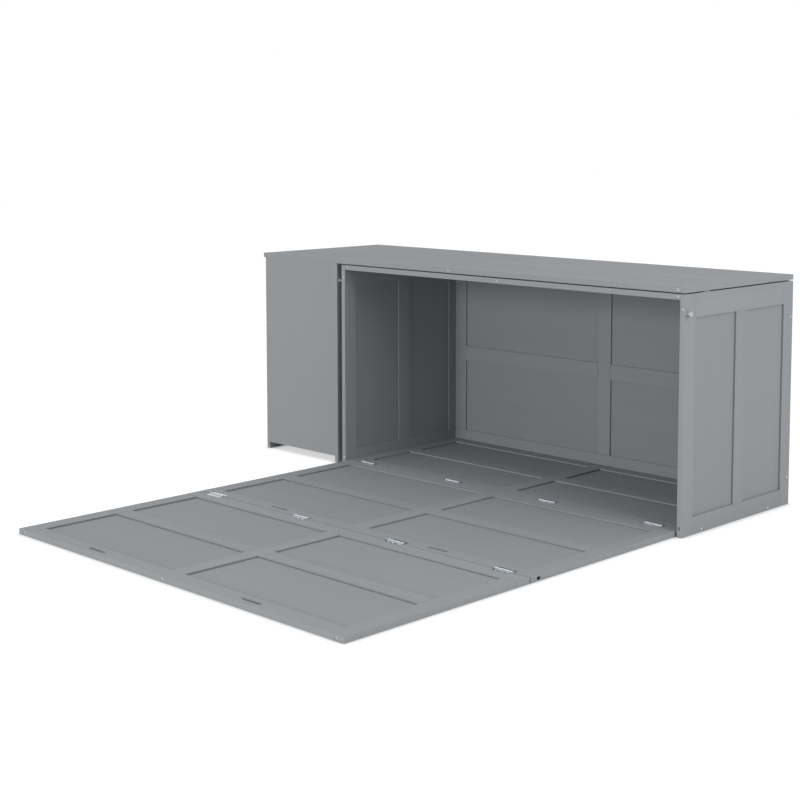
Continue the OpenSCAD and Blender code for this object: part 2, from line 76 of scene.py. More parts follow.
def addNode(tree, kind, inputs=None, **settings):
    # a list holds wires that all go into the same input
    node = tree.nodes.new(kind)
    for key, value in settings.items():
        setattr(node, key, value)
    for key, value in (inputs or {}).items():
        for item in value if isinstance(value, list) else [value]:
            if isinstance(item, Wire):
                tree.links.new(item.socket, node.inputs[key])
            else:
                node.inputs[key].default_value = item
    return node


def put(tree, kind, inputs=None, output=0, **settings):
    return Wire(tree, addNode(tree, kind, inputs, **settings).outputs[output])


def wiresOf(tree, node):
    return {socket.name: Wire(tree, socket) for socket in node.outputs if socket.name}


def vectorOf(tree, x=0.0, y=0.0, z=0.0):
    return put(tree, "ShaderNodeCombineXYZ", {"X": x, "Y": y, "Z": z})


def axesOf(tree, vector):
    return wiresOf(tree, addNode(tree, "ShaderNodeSeparateXYZ", {0: vector}))


def attribute(tree, name, kind):
    return put(tree, "GeometryNodeInputNamedAttribute", {"Name": name}, "Attribute", data_type=kind)


def onPoints(tree, points, shape, **turn):
    return put(tree, "GeometryNodeInstanceOnPoints", {"Points": points, "Instance": shape, **turn})


def realized(tree, geometry):
    return put(tree, "GeometryNodeRealizeInstances", {"Geometry": geometry})


def moved(tree, geometry, **change):
    return put(tree, "GeometryNodeTransform", {"Geometry": geometry, **change})


def newTree(name, floats, ints=(), materials=("Material",)):
    # a tree with named inputs; the geometry goes in first and comes out last
    tree = bpy.data.node_groups.new(name, "GeometryNodeTree")
    kinds = {"Geometry": ["Geometry"], "Float": floats, "Int": ints, "Material": materials}
    for kind, labels in kinds.items():
        for label in labels:
            tree.interface.new_socket(label, in_out="INPUT", socket_type="NodeSocket" + kind)
    tree.interface.new_socket("Geometry", in_out="OUTPUT", socket_type="NodeSocketGeometry")
    return tree, wiresOf(tree, tree.nodes.new("NodeGroupInput"))


def closeTree(tree, given, geometry):
    # faces that carry the mark "deep" get the second material, a near-black metal painted as the recess's
    # shade
    done = put(tree, "GeometryNodeSetMaterial", {
        "Geometry": realized(tree, geometry), "Material": given["Material"]})
    if "Recess Shade Material" in given:
        done = put(tree, "GeometryNodeSetMaterial", {
            "Geometry": done, "Selection": attribute(tree, "deep", "BOOLEAN"),
            "Material": given["Recess Shade Material"]})
    addNode(tree, "NodeGroupOutput", {"Geometry": done})


def newObject(name, data):
    obj = bpy.data.objects.new(name, data)
    scene.collection.objects.link(obj)
    return obj


def runTree(name, tree, values, start=None):
    # runs a tree on a start mesh and gives the result as a plain mesh
    mesh = start or bpy.data.meshes.new(name)
    carrier = newObject(name, mesh)
    modifier = carrier.modifiers.new("shape", "NODES")
    modifier.node_group = tree
    for item in tree.interface.items_tree:
        if item.in_out == "INPUT" and item.name in values:
            modifier[item.identifier] = values[item.name]
    result = evaluatedMesh(carrier)
    carrier.modifiers.clear()
    bpy.data.objects.remove(carrier)
    bpy.data.meshes.remove(mesh)
    if result.materials[0] is None:
        result.materials.pop(index=0)
    result.name = name
    return result


def evaluatedMesh(obj):
    bpy.context.view_layer.update()
    graph = bpy.context.evaluated_depsgraph_get()
    return bpy.data.meshes.new_from_object(obj.evaluated_get(graph), depsgraph=graph)


# Piece helpers

sharpAngle = math.radians(35)
rimRounding = 0.2
weld = 1e-6
memberStep, memberStart = 0.618, 0.13


def newPiece(name, mesh, node, body, bevel=0.0, steps=2):
    # one finished piece that stands for one node of the frame
    piece = newObject(name, mesh)
    if bevel:
        for face in mesh.polygons:
            face.use_smooth = True
        edge = piece.modifiers.new("edges", "BEVEL")
        edge.width = bevel
        edge.segments = steps
        edge.limit_method = "WEIGHT" if "bevel_weight_edge" in mesh.attributes else "ANGLE"
        edge.angle_limit = sharpAngle
        edge.harden_normals = True
    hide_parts(node)
    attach(piece, body)


def unit(axis):
    return Vector([1.0 if i == axis else 0.0 for i in range(3)])


def cornersOf(points):
    low = Vector(min(p[i] for p in points) for i in range(3))
    high = Vector(max(p[i] for p in points) for i in range(3))
    return low, high


def groupsOf(items, neighbours):
    # splits linked items into their separate groups
    seen, groups = set(), []
    for first in items:
        if first in seen:
            continue
        seen.add(first)
        group = [first]
        for item in group:
            for other in neighbours(item):
                if other not in seen:
                    seen.add(other)
                    group.append(other)
        groups.append(group)
    return groups


def solidsOf(node):
    # the points of each separate solid in a node of the frame
    bm = bmesh.new()
    bm.from_mesh(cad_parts[node].data)
    bmesh.ops.remove_doubles(bm, verts=bm.verts, dist=weld)
    groups = groupsOf(bm.verts, lambda vert: [edge.other_vert(vert) for edge in vert.link_edges])
    solids = [[vert.co.copy() for vert in group] for group in groups]
    bm.free()
    return solids


def boxesOf(node):
    return [cornersOf(points) for points in solidsOf(node)]


def headsOf(node):
    # where each fastener of a node has its head, and which way the head looks
    heads = []
    for points in solidsOf(node):
        low, high = cornersOf(points)
        middle, size = (low + high) / 2, high - low
        axis = max(range(3), key=lambda i: size[i])
        spread = []
        for end in (low, high):
            core = middle + (end[axis] - middle[axis]) * unit(axis)
            spread.append(max((p - core).length for p in points if abs(p[axis] - end[axis]) < 10 * weld))
        side = 1 if spread[1] > spread[0] else -1
        heads.append((middle + side * size[axis] / 2 * unit(axis), side * unit(axis)))
    return heads


def addBox(bm, low, high):
    place = Matrix.Translation((low + high) / 2) @ Matrix.Diagonal((*(high - low), 1))
    bmesh.ops.create_cube(bm, size=1, matrix=place)


def addRod(bm, start, direction, radius, length, sides=32):
    turn = direction.to_track_quat("Z", "Y").to_matrix().to_4x4()
    place = Matrix.Translation(start + direction * length / 2) @ turn
    bmesh.ops.create_cone(bm, cap_ends=True, segments=sides, radius1=radius, radius2=radius,
                          depth=length, matrix=place)


def addPrism(bm, outline, axis, low, high):
    # an outline in the two other axes, in their order, drawn out along an axis from low to high
    first, second = [i for i in range(3) if i != axis]
    ends = []
    for level in (low, high):
        corners = []
        for u, v in outline:
            point = [level] * 3
            point[first], point[second] = u, v
            corners.append(bm.verts.new(point))
        ends.append(corners)
    start, end = ends
    faces = [bm.faces.new(start), bm.faces.new(list(reversed(end)))]
    for i in range(len(outline)):
        j = (i + 1) % len(outline)
        faces.append(bm.faces.new((start[j], start[i], end[i], end[j])))
    bmesh.ops.recalc_face_normals(bm, faces=faces)


def meshFrom(bm, name, *materials):
    mesh = bpy.data.meshes.new(name)
    bm.to_mesh(mesh)
    bm.free()
    for material in materials:
        mesh.materials.append(material)
    return mesh


def cut(mesh, holes):
    # takes holes out of a mesh; a drilled hole shows bare wood, darkened to near black as painted shade, and
    # the others keep the board's paint
    cutters = bmesh.new()
    for hole in holes:
        done = len(cutters.faces)
        hole.add(cutters)
        cutters.faces.ensure_lookup_table()
        for face in cutters.faces[done:]:
            face.material_index = 1 if hole.raw else 0
    toolMesh = meshFrom(cutters, "cutter", mesh.materials[0], shadedRawWood)
    tool, work = newObject("cutter", toolMesh), newObject("work", mesh)
    boolean = work.modifiers.new("holes", "BOOLEAN")
    boolean.operation = "DIFFERENCE"
    boolean.solver = "EXACT"
    boolean.material_mode = "TRANSFER"
    boolean.object = tool
    result = evaluatedMesh(work)
    name = mesh.name
    for obj in (work, tool):
        bpy.data.objects.remove(obj)
    for old in (mesh, toolMesh):
        bpy.data.meshes.remove(old)
    result.name = name
    return result


def markMembers(mesh):
    # every member of a piece gets a number of its own, so that no two show the same grain; its outer
    # edges are marked to be rounded, the rims of drilled holes less so
    bm = bmesh.new()
    bm.from_mesh(mesh)
    weights = bm.edges.layers.float.new("bevel_weight_edge")
    for edge in bm.edges:
        angle = edge.calc_face_angle_signed(0)
        if abs(angle) < sharpAngle:
            continue
        drilled = [face.material_index == 1 for face in edge.link_faces]
        if angle < 0 or all(drilled):
            edge.smooth = False
        else:
            edge[weights] = rimRounding if any(drilled) else 1.0
    layer = bm.faces.layers.float.new("member")
    members = groupsOf(bm.faces, lambda face: [other for edge in face.edges for other in edge.link_faces])
    for count, member in enumerate(members):
        for face in member:
            face[layer] = (count * memberStep + memberStart) % 1
    bm.to_mesh(mesh)
    bm.free()


# Finishes

def newGroup(name, numbers, outputs):
    # every group works on a vector; its other inputs are numbers
    group = bpy.data.node_groups.new(name, "ShaderNodeTree")
    group.interface.new_socket("Vector", in_out="INPUT", socket_type="NodeSocketVector")
    for label, default in numbers.items():
        socket = group.interface.new_socket(label, in_out="INPUT", socket_type="NodeSocketFloat")
        socket.default_value = default
    for label in outputs:
        group.interface.new_socket(label, in_out="OUTPUT", socket_type="NodeSocketFloat")
    return group, wiresOf(group, group.nodes.new("NodeGroupInput"))


def noise(tree, vector, scale, detail=2.0, roughness=0.5):
    return put(tree, "ShaderNodeTexNoise", {
        "Vector": vector, "Scale": scale, "Detail": detail, "Roughness": roughness}, "Fac")


def makeGrainGroup():
    # wood that shows through paint: fibres, pores and the slow figure of the board
    group, given = newGroup("wood grain", {
        "Member": 0.0, "Fibre Scale": 420.0, "Pore Scale": 1500.0, "Figure Scale": 26.0},
        ["Fibre", "Pore", "Figure"])
    memberShift = (7.3, 3.1, 5.7)
    shift = vectorOf(group, *[given["Member"] * reach for reach in memberShift])
    along = put(group, "ShaderNodeVectorMath", {0: given["Vector"], 1: shift}, operation="ADD")
    addNode(group, "NodeGroupOutput", {
        "Fibre": noise(group, along, given["Fibre Scale"], 4.0, 0.6),
        "Pore": noise(group, along, given["Pore Scale"]),
        "Figure": noise(group, along, given["Figure Scale"], 3.0, 0.55)})
    return group


def makeSprayGroup():
    # sprayed paint: a fine skin, slow clouds and a little dust on faces that look up
    group, given = newGroup("sprayed paint", {
        "Skin Scale": 620.0, "Cloud Scale": 2.4, "Speck Scale": 260.0}, ["Skin", "Cloud", "Dust"])
    specks = noise(group, given["Vector"], given["Speck Scale"], 5.0, 0.7)
    upward = axesOf(group, put(group, "ShaderNodeNewGeometry", output="Normal"))["Z"].maths("MAXIMUM")
    some = put(group, "ShaderNodeMapRange", {
        "Value": specks, "From Min": 0.5, "From Max": 0.75, "To Min": 0.0, "To Max": 1.0})
    addNode(group, "NodeGroupOutput", {
        "Skin": noise(group, given["Vector"], given["Skin Scale"]),
        "Cloud": noise(group, given["Vector"], given["Cloud Scale"]), "Dust": some * upward})
    return group


def makeMetalGroup():
    # plated or drawn metal: crystals of the plating, fine scratches and dull spots
    group, given = newGroup("plated metal", {
        "Crystal Scale": 900.0, "Scratch Scale": 2600.0, "Spot Scale": 160.0},
        ["Crystal", "Scratch", "Dull"])
    crystal = put(group, "ShaderNodeTexVoronoi", {
        "Vector": given["Vector"], "Scale": given["Crystal Scale"]}, "Color")
    stretch = put(group, "ShaderNodeMapping", {"Vector": given["Vector"], "Scale": (0.05, 1, 1)})
    addNode(group, "NodeGroupOutput", {
        "Crystal": put(group, "ShaderNodeSeparateColor", {0: crystal}),
        "Scratch": noise(group, stretch, given["Scratch Scale"]),
        "Dull": noise(group, given["Vector"], given["Spot Scale"], 3.0)})
    return group


grainGroup = makeGrainGroup()
sprayGroup = makeSprayGroup()
metalGroup = makeMetalGroup()

paintLook = {
    "colour": (0.302, 0.316, 0.331),
    # panels get the same paint a little darker, as painted shade of their recess
    "panelPaintedShade": 0.955,
    "figureTone": 0.035,
    "fibreTone": 0.03,
    "cloudTone": 0.03,
    "memberTone": 0.02,
    "dustTone": 0.012,
    "roughness": 0.6,
    "roughnessSpread": 0.12,
    "fibreShare": 0.8,
    "specular": 0.06,
    "fibreBump": 0.00012,
    "poreShare": 0.4,
    "skinBump": 0.00003,
    "grainStretch": 0.035,
}


def newMaterial(name):
    material = bpy.data.materials.new(name)
    material.use_nodes = True
    tree = material.node_tree
    return material, tree, put(tree, "ShaderNodeTexCoord", output="Object")


def placeGroup(tree, group, inputs):
    return wiresOf(tree, addNode(tree, "ShaderNodeGroup", inputs, node_tree=group))


def stretched(tree, place, *scale):
    return put(tree, "ShaderNodeMapping", {"Vector": place, "Scale": scale})


def bump(tree, height, distance, **below):
    return put(tree, "ShaderNodeBump", {"Height": height, "Distance": distance, "Strength": 1.0, **below})


def finish(material, colour, tone, roughness, normal, **constants):
    # the tone makes the colour darker or lighter over the surface
    tree = material.node_tree
    shader = tree.nodes["Principled BSDF"]
    for label, value in constants.items():
        shader.inputs[label.replace("_", " ")].default_value = value
    shade = put(tree, "ShaderNodeVectorMath", {0: colour, 3: tone}, operation="SCALE")
    for label, wire in (("Base Color", shade), ("Roughness", roughness), ("Normal", normal)):
        tree.links.new(wire.socket, shader.inputs[label])
    return material


def paintMaterial(name, grainAxis, shadeOf=1.0):
    look = paintLook
    material, tree, place = newMaterial(name)
    scale = [1.0, 1.0, 1.0]
    scale[grainAxis] = look["grainStretch"]
    member = put(tree, "ShaderNodeAttribute", output="Fac", attribute_name="member")
    grain = placeGroup(tree, grainGroup, {"Vector": stretched(tree, place, *scale), "Member": member})
    spray = placeGroup(tree, sprayGroup, {"Vector": place})
    tone = spray["Dust"] * look["dustTone"] + 1.0
    for value, amount in ((grain["Figure"], "figureTone"), (grain["Fibre"], "fibreTone"),
                          (spray["Cloud"], "cloudTone"), (member, "memberTone")):
        tone = (value - 0.5) * (2 * look[amount]) + tone
    uneven = (grain["Fibre"] - 0.5) * look["fibreShare"] + (spray["Cloud"] - 0.5)
    roughness = uneven * look["roughnessSpread"] + look["roughness"]
    normal = bump(tree, grain["Pore"] * look["poreShare"] + grain["Fibre"], look["fibreBump"],
                  Normal=bump(tree, spray["Skin"], look["skinBump"]))
    return finish(material, look["colour"], tone * shadeOf, roughness, normal,
                  Specular_IOR_Level=look["specular"])


def metalMaterial(name, colour, roughness, spread, crystals):
    dullTone, scratchBump = -0.12, 0.00002
    material, tree, place = newMaterial(name)
    metal = placeGroup(tree, metalGroup, {"Vector": place})
    tone = metal["Dull"] * dullTone + (metal["Crystal"] * crystals + (1.0 - crystals / 2))
    uneven = metal["Crystal"] * (spread / 2) + (metal["Dull"] * spread + (roughness - spread / 2))
    return finish(material, colour, tone, uneven, bump(tree, metal["Scratch"], scratchBump), Metallic=1.0)


def plasticMaterial(name, colour, roughness):
    cloudTone, spread, skinBump = 0.06, 0.2, 0.00004
    material, tree, place = newMaterial(name)
    spray = placeGroup(tree, sprayGroup, {"Vector": place, "Skin Scale": 1800.0, "Cloud Scale": 60.0})
    return finish(material, colour, spray["Cloud"] * cloudTone + (1 - cloudTone / 2),
                  spray["Cloud"] * spread + (roughness - spread / 2), bump(tree, spray["Skin"], skinBump))


def rawWoodMaterial(name, colour, roughness):
    fibreTone, spread, fibreBump = 0.6, 0.2, 0.0002
    material, tree, place = newMaterial(name)
    along = stretched(tree, place, 0.2, 1, 1)
    grain = placeGroup(tree, grainGroup, {"Vector": along, "Fibre Scale": 900.0})
    return finish(material, colour, grain["Fibre"] * fibreTone + (1 - fibreTone / 2),
                  grain["Pore"] * spread + (roughness - spread / 2), bump(tree, grain["Fibre"], fibreBump))


paints = [paintMaterial("grey paint, grain along " + axis, i) for i, axis in enumerate("XYZ")]
# the panels' paint is darker than the members' paint as painted shade
shadedPanelPaints = [paintMaterial("grey paint on panels, grain along " + axis, i, paintLook["panelPaintedShade"])
               for i, axis in enumerate("XYZ")]
zinc = metalMaterial("bright zinc", (0.68, 0.72, 0.75), 0.26, 0.14, 0.14)
dullZinc = metalMaterial("satin zinc", (0.46, 0.47, 0.48), 0.42, 0.1, 0.06)
# near-black zinc for the faces inside sockets and cross recesses: painted shade, not the metal's own colour
recessShadeZinc = metalMaterial("near-black zinc as painted recess shade", (0.04, 0.04, 0.042), 0.5, 0.1, 0.06)
brass = metalMaterial("brass", (0.62, 0.50, 0.30), 0.3, 0.12, 0.06)
nylon = plasticMaterial("black nylon", (0.03, 0.03, 0.032), 0.5)
# bare wood for drilled holes, its colour darkened to near black as painted shade of the bore
shadedRawWood = rawWoodMaterial("raw wood with painted bore shade", (0.07, 0.05, 0.035), 0.75)
print("finishes made")


# Shapes that the trees share

def rodIn(tree, radius, length, sides, top=(), bottom=()):
    # a cylinder along Z round the origin; each step at an end draws that end out and scales its face
    rod = wiresOf(tree, addNode(tree, "GeometryNodeMeshCylinder", {
        "Vertices": sides, "Radius": radius, "Depth": length}))
    shape = rod["Mesh"]
    for end, steps in ((rod["Top"], top), (rod["Bottom"], bottom)):
        for reach, scale in steps:
            drawn = wiresOf(tree, addNode(tree, "GeometryNodeExtrudeMesh", {
                "Mesh": shape, "Selection": end, "Offset Scale": reach, "Individual": False}, mode="FACES"))
            end = drawn["Top"]
            shape = put(tree, "GeometryNodeScaleElements", {
                "Geometry": drawn["Mesh"], "Selection": end, "Scale": scale}, domain="FACE")
    return shape


def cylinderIn(tree, radius, low, high, sides=24, **steps):
    # such a cylinder between two heights
    middle = vectorOf(tree, z=(high + low) * 0.5)
    return moved(tree, rodIn(tree, radius, high - low, sides, **steps), Translation=middle)


def boxIn(tree, *size):
    return put(tree, "GeometryNodeMeshCube", {"Size": vectorOf(tree, *size)}, "Mesh")


def lineIn(tree, count, start, step):
    return put(tree, "GeometryNodeMeshLine", {"Count": count, "Start Location": start, "Offset": step},
               mode="OFFSET")


def union(tree, *shapes):
    return put(tree, "GeometryNodeMeshBoolean", {"Mesh 2": list(shapes)}, "Mesh", operation="UNION",
               solver="EXACT")


def difference(tree, first, *others):
    return put(tree, "GeometryNodeMeshBoolean", {"Mesh 1": first, "Mesh 2": list(others)}, "Mesh",
               operation="DIFFERENCE", solver="EXACT")


# Framed boards: rails along the whole length, stiles across between them, panels in a groove

boards = {
    "memberWidth": 0.058,
    "fieldPlay": 0.0003,
    "edge": 0.0014,
    "edgeSteps": 3,
    "panelEdge": 0.0005,
    "shadowGap": 0.0012,
    "jointGap": 0.0004,
}


def makeBoardTree():
    tree, given = newTree("framed board", [
        "Length", "Width", "Thickness", "Member Width", "Panel Thickness", "Panel Reach", "Field Height",
        "Field Play", "Joint Gap"], ["Cells Along", "Cells Across", "Part"])
    length, width, thickness = given["Length"], given["Width"], given["Thickness"]
    member = given["Member Width"]
    cellsAlong, cellsAcross, fieldHeight = given["Cells Along"], given["Cells Across"], given["Field Height"]
    half, halfMember = thickness * 0.5, member * 0.5
    pitchX, pitchY = (length - member) / cellsAlong, (width - member) / cellsAcross
    cellX, cellY = pitchX - member, pitchY - member
    firstX, firstY = cellX * 0.5 + member, cellY * 0.5 + member
    stepX, stepY = vectorOf(tree, pitchX), vectorOf(tree, y=pitchY)

    def spread(points, *size):
        return onPoints(tree, points, boxIn(tree, *size))

    def field(count, start, height):
        row = lineIn(tree, cellsAlong, vectorOf(tree, firstX), stepX)
        rows = lineIn(tree, count, vectorOf(tree, 0.0, start, height), stepY)
        return realized(tree, onPoints(tree, rows, row))

    outer = spread(lineIn(tree, 2, vectorOf(tree, length * 0.5, halfMember, half),
                          vectorOf(tree, y=width - member)), length, member, thickness)
    inner = spread(field(cellsAcross - 1.0, pitchY + halfMember, half),
                   cellX - given["Joint Gap"] * 2.0, member, thickness)
    rails = put(tree, "GeometryNodeJoinGeometry", {0: [outer, inner]})

    stilePlaces = lineIn(tree, cellsAlong + 1.0, vectorOf(tree, halfMember, width * 0.5, half), stepX)
    stiles = spread(stilePlaces, member, width - (member + given["Joint Gap"]) * 2.0, thickness)

    reach, play = given["Panel Reach"] * 2.0, given["Field Play"] * 2.0
    slabs = spread(field(cellsAcross, firstY, half), cellX + reach, cellY + reach, given["Panel Thickness"])
    fields = spread(field(cellsAcross, firstY, fieldHeight * 0.5 + half),
                    cellX - play, cellY - play, fieldHeight)
    whole = union(tree, realized(tree, fields), realized(tree, slabs))
    panels = put(tree, "GeometryNodeSwitch", {
        "Switch": fieldHeight.maths("GREATER_THAN"), "False": slabs, "True": whole}, input_type="GEOMETRY")

    pick = addNode(tree, "GeometryNodeIndexSwitch", {"Index": given["Part"]}, data_type="GEOMETRY")
    pick.index_switch_items.new()
    for label, geometry in (("0", rails), ("1", stiles), ("2", panels)):
        tree.links.new(geometry.socket, pick.inputs[label])
    closeTree(tree, given, Wire(tree, pick.outputs[0]))
    return tree


boardTree = makeBoardTree()


def boardPlace(low, high, along, across):
    # turns a board that lies at the origin into its place in the frame
    through = 3 - along - across
    turn = Matrix((unit(along), unit(across), unit(through))).transposed()
    depth = high - low
    offset = Vector(low)
    if turn.determinant() < 0:
        turn = Matrix((unit(along), unit(across), -unit(through))).transposed()
        offset[through] += depth[through]
    return Matrix.Translation(offset) @ turn.to_4x4(), depth[along], depth[across], depth[through]


def panelGrooves(node, through):
    # the grooves round the panels of a board, a little wider than the panels, so that a dark line shows
    gap = boards["shadowGap"] * unit(through)
    return [BoxHole(low - gap, high + gap) for low, high in boxesOf(node)]


def framedBoard(name, body, nodes, along, across, cellsAlong, cellsAcross, holes, fieldHeight=0.0):
    # nodes: the frame's names of the long members, the short members and the panels
    low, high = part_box(nodes[0])
    place, length, width, thickness = boardPlace(low, high, along, across)
    through = 3 - along - across
    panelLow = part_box(nodes[2])[0]
    values = {
        "Length": length, "Width": width, "Thickness": thickness, "Member Width": boards["memberWidth"],
        "Cells Along": cellsAlong, "Cells Across": cellsAcross,
        "Panel Thickness": 2 * ((low[through] + high[through]) / 2 - panelLow[through]),
        "Panel Reach": low[along] + boards["memberWidth"] - panelLow[along],
        "Field Height": fieldHeight, "Field Play": boards["fieldPlay"],
        "Joint Gap": 0.0 if fieldHeight else boards["jointGap"]}
    grooves = [] if fieldHeight else panelGrooves(nodes[2], through)
    parts = (("Long", paints[along]), ("Short", paints[across]), ("Panels", shadedPanelPaints[along]))
    for part, (label, paint) in enumerate(parts):
        node = nodes[part]
        mesh = runTree(name + label, boardTree, {**values, "Part": part, "Material": paint})
        mesh.transform(place)
        if part < 2:
            near = [hole for hole in holes if hole.touches(*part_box(node))]
            if near or grooves:
                mesh = cut(mesh, near + grooves)
        markMembers(mesh)
        bevel, steps = (boards["panelEdge"], 2) if part == 2 else (boards["edge"], boards["edgeSteps"])
        newPiece(mesh.name, mesh, node, body, bevel, steps)


class RoundHole:
    # a drilled hole, from a little outside its face to its depth
    raw = True
    over = 0.001
    near = 1e-4

    def __init__(self, mouth, outward, radius, depth):
        self.mouth, self.outward, self.radius, self.depth = mouth, outward, radius, depth

    def add(self, bm):
        start = self.mouth + self.outward * self.over
        addRod(bm, start, -self.outward, self.radius, self.depth + self.over)

    def touches(self, low, high):
        # the middle of the hole lies in the box
        point = self.mouth - self.outward * self.depth / 2
        return all(low[i] - self.near < point[i] < high[i] + self.near for i in range(3))


class SlotHole(RoundHole):
    # a slot with round ends that runs along one axis
    steps = 12

    def __init__(self, mouth, outward, along, length, width, depth):
        super().__init__(mouth, outward, width / 2, depth)
        self.along, self.length = along, length

    def add(self, bm):
        reach = self.length / 2 - self.radius
        axis = max(range(3), key=lambda i: abs(self.outward[i]))
        first, second = [i for i in range(3) if i != axis]
        outline = []
        for side in (1, -1):
            for i in range(self.steps + 1):
                angle = math.pi * (i / self.steps - side / 2)
                ahead, aside = side * reach + self.radius * math.cos(angle), self.radius * math.sin(angle)
                if self.along == second:
                    ahead, aside = aside, ahead
                outline.append((self.mouth[first] + ahead, self.mouth[second] + aside))
        ends = [self.mouth[axis] + self.outward[axis] * self.over,
                self.mouth[axis] - self.outward[axis] * self.depth]
        addPrism(bm, outline, axis, min(ends), max(ends))


class HandSlot(SlotHole):
    # a painted slot
    raw = False


class BoxHole:
    # a painted groove
    raw = False

    def __init__(self, low, high):
        self.low, self.high = low, high

    def add(self, bm):
        addBox(bm, self.low, self.high)


# Fasteners

def markDeep(tree, shape, radius, top, bottom):
    # marks the faces of a recess: near the axis and between two heights; they get the near-black metal that
    # is painted shade
    place = axesOf(tree, put(tree, "GeometryNodeInputPosition"))
    away = put(tree, "ShaderNodeVectorMath", {0: vectorOf(tree, place["X"], place["Y"])}, "Value",
               operation="LENGTH")
    deep = (away.maths("LESS_THAN", radius) * place["Z"].maths("LESS_THAN", top)
            * place["Z"].maths("GREATER_THAN", bottom))
    return put(tree, "GeometryNodeStoreNamedAttribute", {"Geometry": shape, "Name": "deep", "Value": deep},
               data_type="BOOLEAN", domain="FACE")


def placeOnPoints(tree, given, shape):
    # one shape on each start point, turned to the point's outward direction and then by a random angle
    aimed = put(tree, "FunctionNodeAlignRotationToVector", {
        "Vector": attribute(tree, "outward", "FLOAT_VECTOR")}, axis="Z")
    spin = put(tree, "FunctionNodeRandomValue", {2: 0.0, 3: math.tau, "Seed": given["Seed"]}, 1,
               data_type="FLOAT")
    about = put(tree, "FunctionNodeAxisAngleToRotation", {"Axis": (0, 0, 1), "Angle": spin})
    turn = put(tree, "FunctionNodeRotateRotation", {"Rotation": aimed, "Rotate By": about},
               rotation_space="LOCAL")
    closeTree(tree, given, onPoints(tree, given["Geometry"], shape, Rotation=turn))


# the shank starts at this share of the head's height, inside it
shankStart = 0.9
# a recess's mark, as shares of the recess: its top, its bottom and its reach from the axis
markTop, markBottom, markReach = 0.4, 1.1, 0.51


def makeBoltTree():
    tree, given = newTree("socket bolts", [
        "Head Radius", "Head Height", "Head Bevel", "Socket Radius", "Socket Depth", "Shank Radius",
        "Length"], ["Seed"], ["Material", "Recess Shade Material"])
    radius, bevel, height = given["Head Radius"], given["Head Bevel"], given["Head Height"]
    depth = given["Socket Depth"]
    head = cylinderIn(tree, radius, -height, -bevel, top=[(bevel, (radius - bevel) / radius)])
    shank = cylinderIn(tree, given["Shank Radius"], -given["Length"], height * -shankStart)
    socket = cylinderIn(tree, given["Socket Radius"], -depth, height, sides=6)
    bolt = difference(tree, union(tree, head, shank), socket)
    placeOnPoints(tree, given, markDeep(tree, bolt, given["Socket Radius"], -10 * weld, depth * -markBottom))
    return tree


def makeScrewTree():
    tree, given = newTree("cross screws", [
        "Head Radius", "Head Height", "Dome Height", "Recess Length", "Recess Width", "Recess Depth",
        "Shank Radius", "Length"], ["Seed"], ["Material", "Recess Shade Material"])
    radius, height, dome = given["Head Radius"], given["Head Height"], given["Dome Height"]
    length, width, depth = given["Recess Length"], given["Recess Width"], given["Recess Depth"]
    rise, shoulder, crown = 0.6, 0.82, 0.5
    head = cylinderIn(tree, radius, -height, -dome,
                      top=[(dome * rise, shoulder), (dome * (1 - rise), crown / shoulder)])
    shank = cylinderIn(tree, given["Shank Radius"], -given["Length"], height * -shankStart, 16)
    twice = depth * 2.0
    bars = [boxIn(tree, length, width, twice), boxIn(tree, width, length, twice)]
    screw = difference(tree, union(tree, head, shank), *bars)
    placeOnPoints(tree, given, markDeep(tree, screw, length * markReach, depth * -markTop,
                                        depth * -markBottom))
    return tree


boltLook = {
    "tree": makeBoltTree(),
    "Head Radius": 0.0055,
    "Head Height": 0.003,
    "Head Bevel": 0.001,
    "Socket Radius": 0.0025,
    "Socket Depth": 0.002,
    "Shank Radius": 0.003,
    "Seed": 3,
    "sink": 0.0005,
    "ringPlay": 0.0005,
}
screwLook = {
    "tree": makeScrewTree(),
    "Head Radius": 0.0036,
    "Recess Length": 0.0042,
    "Recess Width": 0.0009,
    "Recess Depth": 0.0008,
    "Shank Radius": 0.002,
    "Seed": 5,
    "sink": 0.0,
    "ringPlay": 0.0003,
}
panScrew = {**screwLook, "Head Height": 0.001, "Dome Height": 0.00075}
flushScrew = {**screwLook, "Head Height": 0.002, "Dome Height": 0.0003}


def pointsMesh(name, heads):
    mesh = bpy.data.meshes.new(name)
    mesh.from_pydata([tuple(point) for point, outward in heads], [], [])
    directions = mesh.attributes.new("outward", "FLOAT_VECTOR", "POINT")
    for i, (point, outward) in enumerate(heads):
        directions.data[i].vector = outward
    return mesh


def fasteners(name, node, body, look, metal=zinc):
    low, high = boxesOf(node)[0]
    mesh = runTree(name, look["tree"], {
        **look, "Length": max(high - low), "Material": metal, "Recess Shade Material": recessShadeZinc},
        pointsMesh(name, headsOf(node)))
    newPiece(name, mesh, node, body)


fasteners("cabinetBolts", "cabinet_frame_bolts", "cabinet", boltLook)
fasteners("middleBolts", "middle_frame_bolts", "middle_board", boltLook)
fasteners("footBolts", "foot_frame_bolts", "foot_board", boltLook)
fasteners("deskBolts", "desk_frame_bolts", "desk", boltLook)
fasteners("wallBolts", "wall_bolts", "cabinet", boltLook)
fasteners("lowerTopScrews", "lower_top_screws", "cabinet", flushScrew)
fasteners("swivelPlateScrews", "swivel_plate_screws", "cabinet", panScrew)
fasteners("floorHingeScrews", "floor_hinge_screws", "cabinet", panScrew)
fasteners("middleHingeScrews", "middle_hinge_screws", "middle_board", panScrew)
fasteners("footHingeScrews", "foot_hinge_screws", "foot_board", panScrew)
fasteners("panelScrews", "shelf_panel_screws", "desk", flushScrew, brass)
fasteners("shelfSideScrews", "shelf_side_screws", "desk", flushScrew)
fasteners("bracketScrews", "shelf_bracket_screws", "desk", panScrew)
print("fasteners made")


def holesFor(node, look=boltLook):
    radius = look["Head Radius"] + look["ringPlay"]
    sink = look["sink"]
    return [RoundHole(point + outward * sink, outward, radius, sink + look["Head Height"])
            for point, outward in headsOf(node)]


